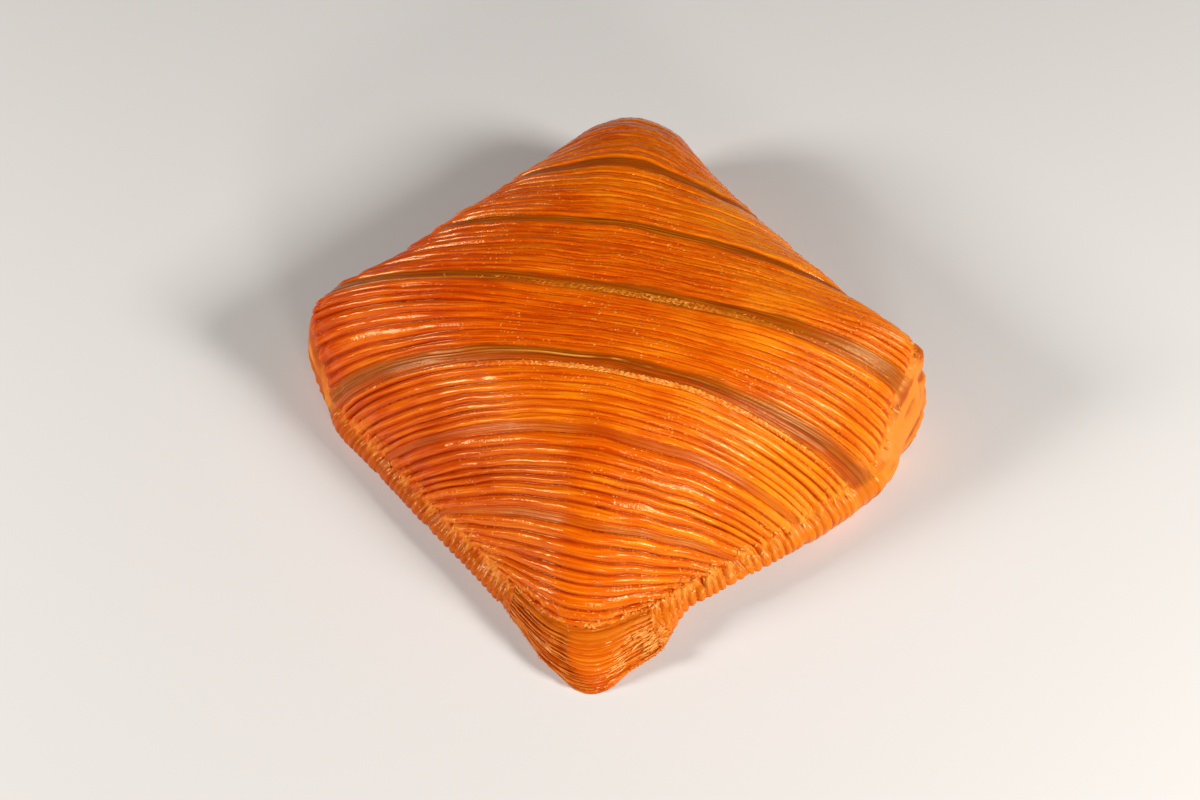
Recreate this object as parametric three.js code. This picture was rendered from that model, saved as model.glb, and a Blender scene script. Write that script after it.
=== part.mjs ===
// A puffed, laminated pastry square: one solid, about 106 mm on a side.
// Its top is a dome that is crossed by ridges and by six smooth bands, all on the skew to the sides.
// Millimetres, +Z up. The sides run along X and Y, and the origin is under the middle of the base.

import * as THREE from 'three';

// ---- Driving sizes, in millimetres ----
// The shape is worked out along the square's diagonals: u from the left to the right corner,
// v from the near to the far corner. The left and right corners are blunt, with two points each.
const DOME_HEIGHT = 37;
const DOME_CENTRE = [0.5, 1];
const CORNERS = [
  { rim: [64.5, 10], rimCut: 7, rimHeight: 21.5, foot: [67.5, 6.5], footCut: 9 },     // right, back
  { rim: [-3, 77], rimCut: 16, rimHeight: 20, foot: [0, 74], footCut: 14 },           // far
  { rim: [-67, 11], rimCut: 7, rimHeight: 20, foot: [-66, 12], footCut: 9 },          // left, back
  { rim: [-60, -7], rimCut: 6, rimHeight: 8, foot: [-61.5, -5], footCut: 9 },         // left, front
  { rim: [-1.5, -62.5], rimCut: 13, rimHeight: 8, foot: [2, -71], footCut: 7 },       // near
  { rim: [57, -14], rimCut: 7, rimHeight: 10, foot: [51, -20.5], footCut: 7 },        // right, front
];
// From each corner to the next: how far the side is pulled in, and how high its middle is lifted.
const SIDES = [
  { rimPull: 2.5, footPull: 6, footLift: 4 },
  { rimPull: 1.5, footPull: 6, footLift: 4 },
  { rimPull: 0, footPull: 0, footLift: 1 },
  { rimPull: 0, footPull: 0.5, footLift: 3 },
  { rimPull: -1, footPull: 2.5, footLift: 5 },
  { rimPull: 0, footPull: 0, footLift: 1 },
];
// Local swells and pinches: where they lie round the dome and how wide they are, in degrees,
// and how far the rim and the foot go out there. The pinch at -68.5 sets the near nose off.
const SWELLS = [
  { turn: -176, width: 5, rim: -0.5, foot: -0.8 },
  { turn: -137, width: 18, rim: 0.3, foot: 0.8 },
  { turn: -98, width: 5, rim: 0, foot: 1.1 },
  { turn: -76, width: 5, rim: 0.8, foot: 2.6 },
  { turn: -68.5, width: 4, rim: -0.2, foot: -1.5 },
  { turn: -50, width: 12, rim: 0.4, foot: 1.3 },
  { turn: -27, width: 7, rim: -0.3, foot: -0.8 },
  { turn: -13, width: 5, rim: 0.6, foot: 1.2 },
  { turn: -3, width: 4, rim: -0.6, foot: -0.6 },
  { turn: 8, width: 4, rim: 0.8, foot: 0.3 },
  { turn: 26, width: 7, rim: -0.7, foot: -0.4 },
  { turn: 114, width: 9, rim: 0.4, foot: 0.3 },
  { turn: 158, width: 9, rim: -1.3, foot: -0.6 },
  { turn: 177, width: 5, rim: 0.9, foot: 0.3 },
];
const WALL_BULGE = 0.22;                         // against the wall's height, up to a limit
const BULGE_LIMIT = 2;
const BASE_SCALE = 0.86;                         // the flat base against the foot's outline

// The dome's section: height = (1 - reach ^ power) ^ round, from the near side to the far side.
const NEAR_SECTION = { power: 3.2, round: 1 };
const FAR_SECTION = { power: 2.5, round: 0.6 };
const PLAN_ROUNDING = 0.28;                      // how much rounder the dome is in plan near its top
const PLAN_RADIUS = 48;

// ---- Ridges, bands and layers ----
const RIDGE_SLANT = THREE.MathUtils.degToRad(-5.5);
const FAR_NOSE = 62;                             // the last straight ridge before the far corner
const BANDS = [43.5, 25.5, 6.5, -12.5, -25.5, -37, -51.5];   // the last one is where the near nose starts
const BAND_HALF_WIDTH = 1.4;
const RIDGES_IN_STRIP = [9, 9, 9, 8, 8, 7, 8];   // between the far nose and each band in turn
const RIDGE_DEPTH = 0.75;
const NEAR_LAYERS = 10;
const FAR_LAYERS = 5;
const LAYER_DEPTH = 0.5;
const BOW_NEAR = { from: -12.5, power: 2.2 };    // where the ridges start to bow round each nose
const BOW_FAR = { from: 36, power: 2 };
const LAYER_GATHER = 0.22;                       // how far a layer's ends draw in towards its nose

// ---- Mesh steps round each loop ----
const WALL_STEPS = 4;
const DOME_STEPS = 18;

const CRUST = new THREE.MeshStandardMaterial({ color: 0xd9781c, roughness: 0.42, metalness: 0 });

// ---- Small helpers ----
const mix = (a, b, t) => a + (b - a) * t;

function smooth(t) {
  return t * t * (3 - 2 * t);
}

// A closed outline through the corners: bowed sides, joined by rounded corners.
function outline(pointKey, cutKey, pullKey) {
  const corners = CORNERS.map((corner) => new THREE.Vector2(...corner[pointKey]));
  const count = corners.length;
  const towards = (i, j) => corners[j].clone().sub(corners[i]).normalize();
  const shape = new THREE.Shape();
  for (let i = 0; i < count; i += 1) {
    const next = (i + 1) % count;
    const afterNext = (i + 2) % count;
    const along = towards(i, next);
    const inward = new THREE.Vector2(-along.y, along.x);
    const start = corners[i].clone().addScaledVector(along, CORNERS[i][cutKey]);
    const end = corners[next].clone().addScaledVector(along, -CORNERS[next][cutKey]);
    const middle = start.clone().lerp(end, 0.5).addScaledVector(inward, 2 * SIDES[i][pullKey]);
    const after = corners[next].clone().addScaledVector(towards(next, afterNext), CORNERS[next][cutKey]);
    if (i === 0) {
      shape.moveTo(start.x, start.y);
    }
    shape.quadraticCurveTo(middle.x, middle.y, end.x, end.y);
    shape.quadraticCurveTo(corners[next].x, corners[next].y, after.x, after.y);
  }
  return shape.getPoints(14);
}

function angleOf(x, y) {
  return Math.atan2(y - DOME_CENTRE[1], x - DOME_CENTRE[0]);
}

// A table of values by angle, read with linear steps between its entries.
function angleTable(entries) {
  const sorted = entries.slice().sort((a, b) => a.angle - b.angle);
  const first = sorted[0];
  const last = sorted[sorted.length - 1];
  const ring = [
    { angle: last.angle - 2 * Math.PI, value: last.value },
    ...sorted,
    { angle: first.angle + 2 * Math.PI, value: first.value },
  ];
  return (angle) => {
    const wrapped = wrapAngle(angle);
    let i = 1;
    while (i < ring.length - 1 && ring[i].angle < wrapped) {
      i += 1;
    }
    const low = ring[i - 1];
    const high = ring[i];
    return mix(low.value, high.value, (wrapped - low.angle) / (high.angle - low.angle));
  };
}

function radiusTable(points) {
  return angleTable(points.map((p) => ({
    angle: angleOf(p.x, p.y),
    value: Math.hypot(p.x - DOME_CENTRE[0], p.y - DOME_CENTRE[1]),
  })));
}

// Heights at the corners, eased from one to the next, with a lift in the middle of each side.
function heightTable(pointKey, heightOf, liftOf) {
  const steps = 12;
  const entries = [];
  for (let i = 0; i < CORNERS.length; i += 1) {
    const next = (i + 1) % CORNERS.length;
    const angle = angleOf(...CORNERS[i][pointKey]);
    const turn = (angleOf(...CORNERS[next][pointKey]) - angle + 2 * Math.PI) % (2 * Math.PI);
    for (let k = 0; k < steps; k += 1) {
      const t = k / steps;
      const ease = (1 - Math.cos(Math.PI * t)) / 2;
      const lift = liftOf(SIDES[i]) * Math.sin(Math.PI * t) ** 2;
      const value = mix(heightOf(CORNERS[i]), heightOf(CORNERS[next]), ease) + lift;
      entries.push({ angle: wrapAngle(angle + turn * t), value });
    }
  }
  return angleTable(entries);
}

function wrapAngle(angle) {
  return Math.atan2(Math.sin(angle), Math.cos(angle));
}

function withSwells(radiusAt, key) {
  return (angle) => SWELLS.reduce((radius, swell) => {
    const off = wrapAngle(angle - THREE.MathUtils.degToRad(swell.turn));
    return radius + swell[key] * Math.exp(-((off / THREE.MathUtils.degToRad(swell.width)) ** 2));
  }, radiusAt(angle));
}

const rimRadius = withSwells(radiusTable(outline('rim', 'rimCut', 'rimPull')), 'rim');
const footRadius = withSwells(radiusTable(outline('foot', 'footCut', 'footPull')), 'foot');
const rimHeight = heightTable('rim', (corner) => corner.rimHeight, () => 0);
const footHeight = heightTable('foot', () => 0, (side) => side.footLift);

// ---- The smooth shell ----
// reach is 0 at the middle of the dome, 1 on the rim and 2 at the foot.
function shellPoint(reach, angle) {
  const rim = rimRadius(angle);
  const low = rimHeight(angle);
  let radius;
  let height;
  if (reach <= 1) {
    const far = smooth(0.5 + 0.5 * Math.sin(angle));
    const power = mix(NEAR_SECTION.power, FAR_SECTION.power, far);
    const round = mix(NEAR_SECTION.round, FAR_SECTION.round, far);
    radius = reach * mix(rim, PLAN_RADIUS, PLAN_ROUNDING * (1 - reach));
    height = low + (DOME_HEIGHT - low) * (1 - reach ** power) ** round;
  } else {
    const up = 2 - reach;
    const floor = footHeight(angle);
    const bulge = Math.min(WALL_BULGE * (low - floor), BULGE_LIMIT);
    radius = mix(footRadius(angle), rim, up) + bulge * Math.sin(Math.PI * up);
    height = mix(floor, low, up);
  }
  return new THREE.Vector3(
    DOME_CENTRE[0] + radius * Math.cos(angle),
    DOME_CENTRE[1] + radius * Math.sin(angle),
    height,
  );
}

// The reach and angle of a place on the dome that is given in plan.
function domePlace(x, y) {
  const angle = angleOf(x, y);
  const radius = Math.hypot(x - DOME_CENTRE[0], y - DOME_CENTRE[1]);
  const rim = rimRadius(angle);
  const square = PLAN_ROUNDING * (rim - PLAN_RADIUS);
  const linear = mix(rim, PLAN_RADIUS, PLAN_ROUNDING);
  if (Math.abs(square) < 1e-6) {
    return { reach: Math.min(radius / linear, 1), angle };
  }
  const root = Math.sqrt(linear * linear + 4 * square * radius);
  return { reach: Math.min((root - linear) / (2 * square), 1), angle };
}

// ---- Where a ridge line meets the rim and the foot ----
// The distance across the ridges is measured from the middle of the dome.
function acrossRidges(radius, angle) {
  return radius * Math.sin(angle - RIDGE_SLANT);
}

function tip(radiusAt, sign) {
  const middle = sign * Math.PI / 2;
  let best = middle;
  for (let step = -40; step <= 40; step += 1) {
    const angle = middle + step * 0.01;
    if (sign * acrossRidges(radiusAt(angle), angle) > sign * acrossRidges(radiusAt(best), best)) {
      best = angle;
    }
  }
  return best;
}

function makeEdge(radiusAt) {
  const near = tip(radiusAt, -1);
  const far = tip(radiusAt, 1);
  const crossing = (across, lowAngle, highAngle) => {
    let low = lowAngle;
    let high = highAngle;
    for (let i = 0; i < 40; i += 1) {
      const middle = (low + high) / 2;
      if (acrossRidges(radiusAt(middle), middle) < across) {
        low = middle;
      } else {
        high = middle;
      }
    }
    return (low + high) / 2;
  };
  return {
    near,
    far,
    right: (across) => crossing(across, near, far),
    left: (across) => crossing(across, near + 2 * Math.PI, far),
  };
}

const rimEdge = makeEdge(rimRadius);
const footEdge = makeEdge(footRadius);
const NEAR_NOSE = BANDS[BANDS.length - 1];

// ---- Loops: each runs from the left foot over the top to the right foot ----
function bow(across) {
  const near = (BOW_NEAR.from - across) / (BOW_NEAR.from - NEAR_NOSE);
  const far = (across - BOW_FAR.from) / (FAR_NOSE - BOW_FAR.from);
  return {
    near: Math.max(near, 0) ** BOW_NEAR.power,
    far: Math.max(far, 0) ** BOW_FAR.power,
  };
}

// The way round the near or the far nose from one angle to the other.
function roundNose(left, right, t, isNear) {
  return isNear ? mix(left, right + 2 * Math.PI, t) : mix(left, right, t);
}

function ridgeLoop(across) {
  const left = rimEdge.left(across);
  const right = rimEdge.right(across);
  const start = shellPoint(1, left);
  const end = shellPoint(1, right);
  const amount = bow(across);
  const isNear = amount.near > 0;
  const share = isNear ? amount.near : amount.far;
  const loop = wallSteps(footEdge.left(across), left, 1);
  for (let k = 1; k < DOME_STEPS; k += 1) {
    const t = k / DOME_STEPS;
    const nose = shellPoint(1, roundNose(left, right, t, isNear));
    const x = mix(mix(start.x, end.x, t), nose.x, share);
    const y = mix(mix(start.y, end.y, t), nose.y, share);
    loop.push(domePlace(x, y));
  }
  return loop.concat(wallSteps(footEdge.right(across), right, 1).reverse());
}

function wallSteps(footAngle, topAngle, top) {
  const steps = [];
  for (let k = 0; k <= WALL_STEPS; k += 1) {
    const up = k / WALL_STEPS;
    steps.push({ reach: 2 - up * top, angle: mix(footAngle, topAngle, up) });
  }
  return steps;
}

// A layer round a nose, drop = 0 on the rim and 1 at the foot.
function layerLoop(drop, isNear) {
  const across = isNear ? NEAR_NOSE : FAR_NOSE;
  const turn = isNear ? 2 * Math.PI : 0;
  const gather = LAYER_GATHER * drop;
  const rimNose = isNear ? rimEdge.near + turn : rimEdge.far;
  const footNose = isNear ? footEdge.near + turn : footEdge.far;
  const nose = mix(rimNose, footNose, drop);
  const top = 1 - drop;
  const left = mix(mix(rimEdge.left(across), footEdge.left(across), drop), nose, gather);
  const right = mix(mix(rimEdge.right(across), footEdge.right(across), drop) + turn, nose, gather);
  const loop = wallSteps(mix(footEdge.left(across), footNose, gather), left, top);
  for (let k = 1; k < DOME_STEPS; k += 1) {
    loop.push({ reach: 2 - top, angle: mix(left, right, k / DOME_STEPS) });
  }
  const footRight = mix(footEdge.right(across) + turn, footNose, gather);
  return loop.concat(wallSteps(footRight, right, top).reverse());
}

// ---- All loops, from the far foot to the near foot, each with its relief ----
function allLoops() {
  const loops = [];
  for (let k = 2 * FAR_LAYERS; k > 0; k -= 1) {
    loops.push({ places: layerLoop(k / (2 * FAR_LAYERS), false), relief: layerRelief(k) });
  }
  let from = FAR_NOSE;
  BANDS.forEach((band, i) => {
    const steps = 2 * RIDGES_IN_STRIP[i];
    const isLast = i === BANDS.length - 1;
    const to = band + (isLast ? 0 : BAND_HALF_WIDTH);
    for (let k = 0; k <= steps; k += 1) {
      const relief = k % 2 === 1 ? RIDGE_DEPTH / 2 : -RIDGE_DEPTH / 2;
      loops.push({ places: ridgeLoop(mix(from, to, k / steps)), relief });
    }
    from = band - BAND_HALF_WIDTH;
  });
  for (let k = 1; k <= 2 * NEAR_LAYERS; k += 1) {
    loops.push({ places: layerLoop(k / (2 * NEAR_LAYERS), true), relief: layerRelief(k) });
  }
  return loops;
}

function layerRelief(k) {
  return k % 2 === 1 ? LAYER_DEPTH / 2 : -LAYER_DEPTH / 2;
}

// The cut faces at the left and right corners are nearly smooth.
function reliefShare(place) {
  const toSide = Math.abs(Math.cos(place.angle));
  const onWall = Math.max(place.reach - 1, 0);
  const blunt = THREE.MathUtils.smoothstep(toSide, 0.93, 0.97);
  const foot = 1 - THREE.MathUtils.smoothstep(onWall, 0.75, 1);
  return foot * (1 - 0.8 * blunt * Math.min(onWall * 4, 1));
}

function outwardAt(place) {
  const step = 0.004;
  const turn = 0.01;
  const side = place.reach < 1 ? -step : step;
  const here = shellPoint(place.reach, place.angle);
  const out = shellPoint(place.reach + side, place.angle).sub(here).multiplyScalar(Math.sign(side));
  const round = shellPoint(place.reach, place.angle + turn).sub(shellPoint(place.reach, place.angle - turn));
  return out.cross(round).normalize();
}

function basePoint(place) {
  const radius = BASE_SCALE * footRadius(place.angle);
  const x = DOME_CENTRE[0] + radius * Math.cos(place.angle);
  const y = DOME_CENTRE[1] + radius * Math.sin(place.angle);
  return new THREE.Vector3(x, y, 0);
}

function loopPoints({ places, relief }) {
  const points = places.map((place) => {
    const point = shellPoint(place.reach, place.angle);
    point.addScaledVector(outwardAt(place), relief * reliefShare(place));
    point.z = Math.max(point.z, 0);
    return point;
  });
  return [...points, basePoint(places[places.length - 1]), basePoint(places[0])];
}

// A loop on the base under a nose's last layer, and one shrunk to the middle of it.
function capLoops({ places }) {
  const ring = [...places, places[places.length - 1], places[0]].map(basePoint);
  const tipPoint = ring[Math.floor(places.length / 2)];
  const middle = ring[0].clone().lerp(ring[places.length - 1], 0.5).lerp(tipPoint, 0.5);
  return [ring, ring.map(() => middle)];
}

// ---- The closed mesh ----
function loftGeometry(loops) {
  const size = loops[0].length;
  const positions = loops.flat().flatMap((p) => [p.x, p.y, p.z]);
  const indices = [];
  const point = (i) => new THREE.Vector3().fromArray(positions, 3 * i);
  const addFace = (a, b, c) => {
    const face = new THREE.Triangle(point(a), point(b), point(c));
    const apart = [face.a.distanceTo(face.b), face.b.distanceTo(face.c), face.c.distanceTo(face.a)];
    if (Math.min(...apart) > 1e-3) {
      indices.push(a, b, c);
    }
  };
  for (let i = 0; i + 1 < loops.length; i += 1) {
    for (let k = 0; k < size; k += 1) {
      const a = i * size + k;
      const b = i * size + (k + 1) % size;
      const c = a + size;
      const d = b + size;
      addFace(a, d, b);
      addFace(a, c, d);
    }
  }
  const geometry = new THREE.BufferGeometry();
  geometry.setAttribute('position', new THREE.Float32BufferAttribute(positions, 3));
  geometry.setIndex(indices);
  return geometry;
}

function pastryGeometry() {
  const loops = allLoops();
  const farCap = capLoops(loops[0]).reverse();
  const nearCap = capLoops(loops[loops.length - 1]);
  const geometry = loftGeometry([...farCap, ...loops.map(loopPoints), ...nearCap]);
  geometry.rotateZ(Math.PI / 4);
  geometry.computeBoundingBox();
  const { min, max } = geometry.boundingBox;
  geometry.translate(-(min.x + max.x) / 2, -(min.y + max.y) / 2, -min.z);
  geometry.computeVertexNormals();
  return geometry;
}

const pastry = new THREE.Mesh(pastryGeometry(), CRUST);
pastry.name = 'pastry_square';

const model = new THREE.Group();
model.add(pastry);

export default model;
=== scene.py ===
"""Looks for the laminated pastry square: its ridged crust, its baked colours and a plain studio.

Shapes are worked out in millimetres in the square's own diagonal frame, u from the left to the right
corner and v from the near to the far one, and are then turned and placed on the solid in metres.
"""
import math
from types import SimpleNamespace

import bpy
import numpy as np
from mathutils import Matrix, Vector


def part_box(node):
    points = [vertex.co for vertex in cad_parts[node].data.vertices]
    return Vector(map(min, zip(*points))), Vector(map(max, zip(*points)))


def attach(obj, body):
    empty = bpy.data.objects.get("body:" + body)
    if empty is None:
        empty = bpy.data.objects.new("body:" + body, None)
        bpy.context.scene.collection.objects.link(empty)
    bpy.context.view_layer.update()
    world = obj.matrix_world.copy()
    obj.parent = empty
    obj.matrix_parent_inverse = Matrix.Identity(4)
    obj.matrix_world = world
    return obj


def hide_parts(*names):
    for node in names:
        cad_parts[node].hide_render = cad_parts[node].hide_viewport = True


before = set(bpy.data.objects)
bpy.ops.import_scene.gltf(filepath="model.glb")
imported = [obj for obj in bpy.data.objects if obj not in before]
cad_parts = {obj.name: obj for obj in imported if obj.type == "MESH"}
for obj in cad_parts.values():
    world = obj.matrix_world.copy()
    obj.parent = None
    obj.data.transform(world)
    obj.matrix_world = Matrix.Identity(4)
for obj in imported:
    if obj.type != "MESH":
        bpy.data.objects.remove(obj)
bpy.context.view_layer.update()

# ---- Driving sizes of the shape, in millimetres, as in the solid ----
DOME_HEIGHT = 37
DOME_CENTRE = (0.5, 1)
CORNERS = (
    # rim point, rim cut, rim height, foot point, foot cut
    ((64.5, 10), 7, 21.5, (67.5, 6.5), 9),        # right, back
    ((-3, 77), 16, 20, (0, 74), 14),              # far
    ((-67, 11), 7, 20, (-66, 12), 9),             # left, back
    ((-60, -7), 6, 8, (-61.5, -5), 9),            # left, front
    ((-1.5, -62.5), 13, 8, (2, -71), 7),          # near
    ((57, -14), 7, 10, (51, -20.5), 7),           # right, front
)
RIM_PULLS = (2.5, 1.5, 0, 0, -1, 0)
FOOT_PULLS = (6, 6, 0, 0.5, 2.5, 0)
FOOT_LIFTS = (4, 4, 1, 3, 5, 1)
SWELLS = (
    # turn and width in degrees, how far the rim and the foot go out
    (-176, 5, -0.5, -0.8), (-137, 18, 0.3, 0.8), (-98, 5, 0, 1.1),
    (-76, 5, 0.8, 2.6), (-68.5, 4, -0.2, -1.5), (-50, 12, 0.4, 1.3),
    (-27, 7, -0.3, -0.8), (-13, 5, 0.6, 1.2), (-3, 4, -0.6, -0.6),
    (8, 4, 0.8, 0.3), (26, 7, -0.7, -0.4), (114, 9, 0.4, 0.3),
    (158, 9, -1.3, -0.6), (177, 5, 0.9, 0.3),
)
RIM_OUT, FOOT_OUT = 2, 3  # places in each swell
WALL_BULGE = 0.22  # against the wall's height, up to a limit
BULGE_LIMIT = 2
BASE_SCALE = 0.86
NEAR_SECTION = (3.2, 1)
FAR_SECTION = (2.5, 0.6)
PLAN_ROUNDING = 0.28
PLAN_RADIUS = 48

RIDGE_SLANT = math.radians(-5.5)
FAR_NOSE = 62
BOW_NEAR = (-12.5, 2.2)
BOW_FAR = (36, 2)

# ---- The looks' own sizes ----
BANDS = (
    # distance across, half width, how much wider at the left and at the right end
    (43.5, 1.1, 0, 0.2), (25.5, 1.2, 0, 0.1), (6.5, 1.8, -0.3, 0.25),
    (-12.5, 2.1, -0.35, -0.15), (-25.5, 0.65, 0.1, 0.1), (-37, 0.5, 0.2, 0.1), (-51.5, 0, 0, 0),
)
CRUMBLY_BAND, THREAD_BAND = 2, 3  # places in BANDS
RIDGES_IN_STRIP = (9, 9, 9, 8, 8, 7, 8)
STRIP_TONES = (0, 0.02, -0.12, -0.02, 0.16, 0, 0)  # how much yellower each strip is
FRAYED_RIDGE = sum(RIDGES_IN_STRIP[:4])  # the pale ridge next to the widest band
NEAR_NOSE = BANDS[-1][0]  # the last entry is no band, but the end of the last strip of ridges
RIDGE_DEPTH = 0.34  # in the dome's middle
BOLD_DEPTH = 0.56  # added towards the blunt corners and the near nose
ROPE_DEPTH = 0.8
ROPE_WIDTH = 1.7  # along the rim
SWAY = 0.28  # how far the ridges wander sideways
BROW_SHARE = 0.06  # the smooth band over the near nose's layers, against the wall
NEAR_LAYERS = 14
FAR_LAYERS = 6
LAYER_DEPTH = 1.05
LAYER_GATHER = 0.22  # how far the layers' ends draw in towards the nose at the foot

# The blunt cut faces, as spans of angle round the dome's middle.
CUT_FACES = ((-14, 10), (171, 187))
CUT_FACE_EDGE = 2.5
LEFT_STRIP_SHIFT = 1.7  # how much further out the left one starts

# ---- Mesh steps ----
WALL_STEPS = 15
DOME_STEPS = 150
END_CROWDING = 0.45  # how much closer the dome's steps lie near the rim
RIDGE_SAMPLES = (0, 0.07, 0.18, 0.34, 0.5, 0.66, 0.82, 0.93)
BAND_SAMPLES = 12
LAYER_SAMPLES = (0, 0.12, 0.3, 0.5, 0.7, 0.88)
BROW_SAMPLES = 5
NOSE_FADE = 8  # points over which the layers fade in at the ends of a nose's loops
UNDER_RADII = (0.985, 0.95, 0.9, BASE_SCALE)
UNDER_HEIGHTS = (0.7, 0.35, 0.1, 0)
BASE_STEPS = 3

MM = 0.001
ROW_SEED = 11
NOISE_CELLS = 64
BAND_REACH = 4  # how many half widths off a band still count
FULL_TURN = np.linspace(-math.pi, math.pi, 2881)  # angles, an eighth of a degree apart


# ---- Small helpers ----
def mix(a, b, t):
    return a + (b - a) * t


def smooth(t):
    return t * t * (3 - 2 * t)


def ramp(value, low, high):
    return smooth(np.clip((value - low) / (high - low), 0, 1))


def bump_at(value, centre, width):
    return np.exp(-((value - centre) / width) ** 2)


def noise(x, y, seed):
    """Smooth value noise in -1..1, one step a unit."""
    table = np.random.default_rng(seed).uniform(-1, 1, (NOISE_CELLS, NOISE_CELLS))
    xi = np.floor(x).astype(int)
    yi = np.floor(y).astype(int)
    fx = smooth(x - xi)
    fy = smooth(y - yi)
    at = lambda i, j: table[(xi + i) % NOISE_CELLS, (yi + j) % NOISE_CELLS]
    return mix(mix(at(0, 0), at(1, 0), fx), mix(at(0, 1), at(1, 1), fx), fy)


def fractal(x, y, seed):
    return (noise(x, y, seed) + 0.5 * noise(2 * x, 2 * y, seed + 1)
            + 0.25 * noise(4 * x, 4 * y, seed + 2)) / 1.75


# ---- Outlines and heights, by angle round the dome's middle ----
def quadratic(a, b, c, count=24):
    t = np.linspace(0, 1, count, endpoint=False)[:, None]
    return (1 - t) ** 2 * a + 2 * t * (1 - t) * b + t ** 2 * c


def outline(points, cuts, pulls):
    points = [np.array(p) for p in points]
    count = len(points)
    pieces = []
    for i in range(count):
        here, after = points[i], points[(i + 1) % count]
        later = points[(i + 2) % count]
        cut = cuts[(i + 1) % count]
        along = (after - here) / np.linalg.norm(after - here)
        onward = (later - after) / np.linalg.norm(later - after)
        inward = np.array((-along[1], along[0]))
        start = here + along * cuts[i]
        end = after - along * cut
        pieces.append(quadratic(start, (start + end) / 2 + 2 * pulls[i] * inward, end))
        pieces.append(quadratic(end, after, after + onward * cut))
    return np.concatenate(pieces)


def angle_of(x, y):
    return np.arctan2(y - DOME_CENTRE[1], x - DOME_CENTRE[0])


def table(angles, values):
    return lambda angle: np.interp(angle, angles, values, period=2 * math.pi)


def radius_table(points):
    radii = np.hypot(points[:, 0] - DOME_CENTRE[0], points[:, 1] - DOME_CENTRE[1])
    return table(angle_of(points[:, 0], points[:, 1]), radii)


def turn_from(angle, degrees):
    """How far an angle is from a turn, in degrees."""
    return (np.degrees(angle) - degrees + 180) % 360 - 180


def with_swells(radius_at, out):
    def radius(angle):
        total = radius_at(angle)
        for swell in SWELLS:
            total = total + swell[out] * bump_at(turn_from(angle, swell[0]), 0, swell[1])
        return total
    return radius


def height_table(points, heights, lifts, steps=24):
    angles, values = [], []
    for i in range(len(points)):
        after = (i + 1) % len(points)
        start = angle_of(*points[i])
        turn = (angle_of(*points[after]) - start) % (2 * math.pi)
        t = np.arange(steps) / steps
        ease = (1 - np.cos(math.pi * t)) / 2
        angles.append(start + turn * t)
        values.append(mix(heights[i], heights[after], ease) + lifts[i] * np.sin(math.pi * t) ** 2)
    return table(np.concatenate(angles), np.concatenate(values))


RIM_POINTS, RIM_CUTS, RIM_HEIGHTS, FOOT_POINTS, FOOT_CUTS = zip(*CORNERS)
LEVEL = [0.0] * len(CORNERS)
rim_radius = with_swells(radius_table(outline(RIM_POINTS, RIM_CUTS, RIM_PULLS)), RIM_OUT)
foot_radius = with_swells(radius_table(outline(FOOT_POINTS, FOOT_CUTS, FOOT_PULLS)), FOOT_OUT)
rim_height = height_table(RIM_POINTS, RIM_HEIGHTS, LEVEL)
foot_height = height_table(FOOT_POINTS, LEVEL, FOOT_LIFTS)


def shell(reach, angle):
    """The smooth shell: reach is 0 in the dome's middle, 1 on the rim and 2 at the foot."""
    rim = rim_radius(angle)
    low = rim_height(angle)
    floor = foot_height(angle)
    far = smooth(0.5 + 0.5 * np.sin(angle))
    inner = np.clip(reach, 0, 1)
    power = mix(NEAR_SECTION[0], FAR_SECTION[0], far)
    rounding = mix(NEAR_SECTION[1], FAR_SECTION[1], far)
    dome_radius = inner * mix(rim, PLAN_RADIUS, PLAN_ROUNDING * (1 - inner))
    dome_height = low + (DOME_HEIGHT - low) * (1 - inner ** power) ** rounding
    up = np.clip(2 - reach, 0, 1)
    bulge = np.minimum(WALL_BULGE * (low - floor), BULGE_LIMIT) * np.sin(math.pi * up)
    on_dome = reach <= 1
    radius = np.where(on_dome, dome_radius, mix(foot_radius(angle), rim, up) + bulge)
    height = np.where(on_dome, dome_height, mix(floor, low, up))
    return np.stack((DOME_CENTRE[0] + radius * np.cos(angle),
                     DOME_CENTRE[1] + radius * np.sin(angle), height), axis=-1)


def outward(reach, angle):
    step, turn = 0.004, 0.01
    side = np.where(reach < 1, -step, step)
    out = (shell(reach + side, angle) - shell(reach, angle)) * np.sign(side)[..., None]
    around = shell(reach, angle + turn) - shell(reach, angle - turn)
    normal = np.cross(out, around)
    return normal / np.maximum(np.linalg.norm(normal, axis=-1, keepdims=True), 1e-9)


def from_rim(reach, angle):
    """Millimetres from the rim, under 0 on the dome and over 0 down the wall."""
    wall = np.hypot(foot_radius(angle) - rim_radius(angle), rim_height(angle) - foot_height(angle))
    return (reach - 1) * np.where(reach <= 1, rim_radius(angle), 1.2 * wall)


def dome_place(x, y):
    angle = angle_of(x, y)
    radius = np.hypot(x - DOME_CENTRE[0], y - DOME_CENTRE[1])
    rim = rim_radius(angle)
    square = PLAN_ROUNDING * (rim - PLAN_RADIUS)
    square = np.where(np.abs(square) < 1e-6, 1e-6, square)
    linear = mix(rim, PLAN_RADIUS, PLAN_ROUNDING)
    root = np.sqrt(linear ** 2 + 4 * square * radius)
    return np.minimum((root - linear) / (2 * square), 1), angle


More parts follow.
